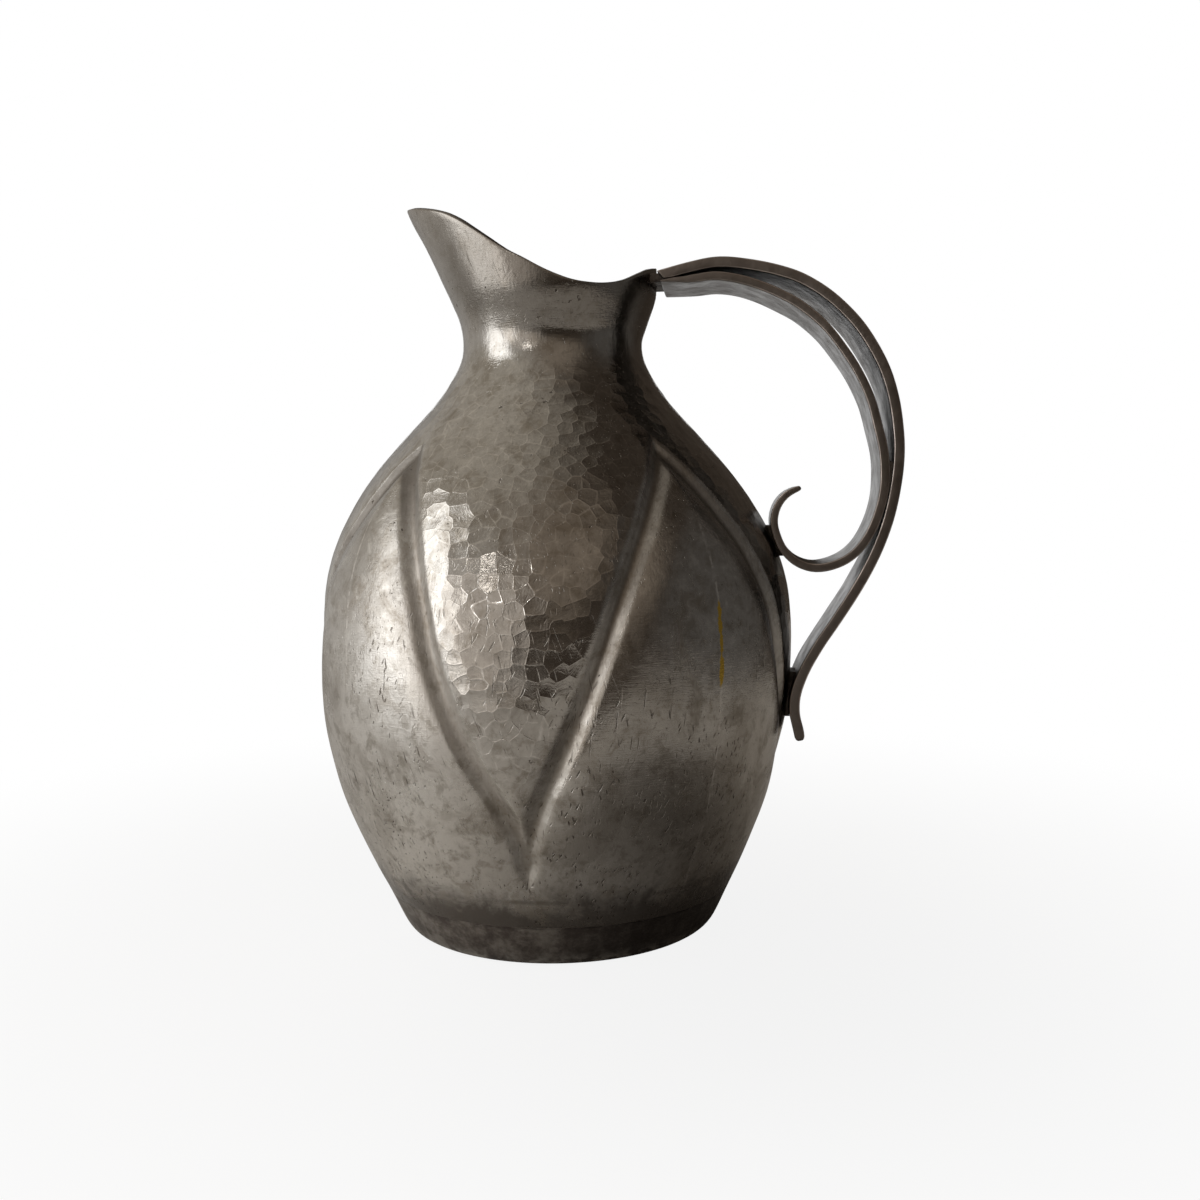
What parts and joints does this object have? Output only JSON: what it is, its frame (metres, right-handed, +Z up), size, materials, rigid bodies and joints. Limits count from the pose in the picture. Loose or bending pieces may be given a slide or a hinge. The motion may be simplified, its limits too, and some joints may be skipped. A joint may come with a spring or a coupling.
{
  "type": "jug",
  "caption": "Metal jug with an egg-shaped hammered body, raised leaves with chased borders, a drawn lip and a handle of two curled straps.",
  "frame": {"origin": "centre of the flat underside of the base, on the axis of the body", "axes": "+Z up, +X towards the handle, -X towards the spout; the plane Y = 0 is the mirror plane"},
  "size_m": [0.1646, 0.1344, 0.2051],
  "materials": {
    "hammered_pewter": "hammered, worn grey pewter",
    "tarnished_pewter": "dull, stained pewter",
    "strap_pewter": "dark, smooth pewter strap",
    "solder": "dull, dark solder"
  },
  "bodies": {
    "root": {"body_shell": "hammered_pewter", "bottom_pan": "tarnished_pewter", "bottom_seam": "solder", "outer_strap": "strap_pewter", "inner_strap": "strap_pewter", "rim_joint": "solder", "strap_joint": "solder", "scroll_joint": "solder", "tail_joint": "solder"}
  },
  "joints": []
}
